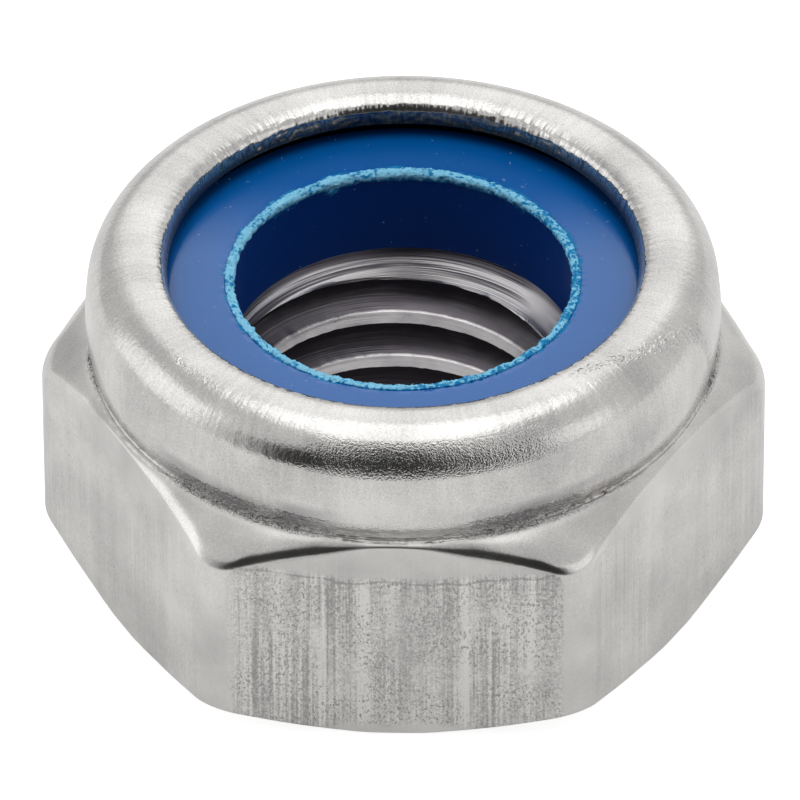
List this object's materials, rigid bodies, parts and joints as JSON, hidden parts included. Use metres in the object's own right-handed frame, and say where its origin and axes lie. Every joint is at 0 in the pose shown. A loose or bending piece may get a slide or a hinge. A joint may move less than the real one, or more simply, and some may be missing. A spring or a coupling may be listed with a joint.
{
  "type": "nylon insert lock nut",
  "caption": "Hexagonal steel lock nut with a metric thread and a blue nylon ring crimped under its collar, which grips the bolt and keeps it from working loose.",
  "frame": {"origin": "centre of the flat bearing face at the nut's bottom, on the thread axis", "axes": "+Z along the thread axis, from the bearing face to the collar; two wrench flats face -Y and +Y, and two corners lie on the X axis"},
  "size_m": [0.0192, 0.017, 0.0096],
  "materials": {
    "steel": "satin stainless steel with drawn lines on the flats",
    "nylon": "smooth satin"
  },
  "bodies": {
    "root": {"nut_body": "steel", "nylon_insert": "nylon"}
  },
  "joints": []
}
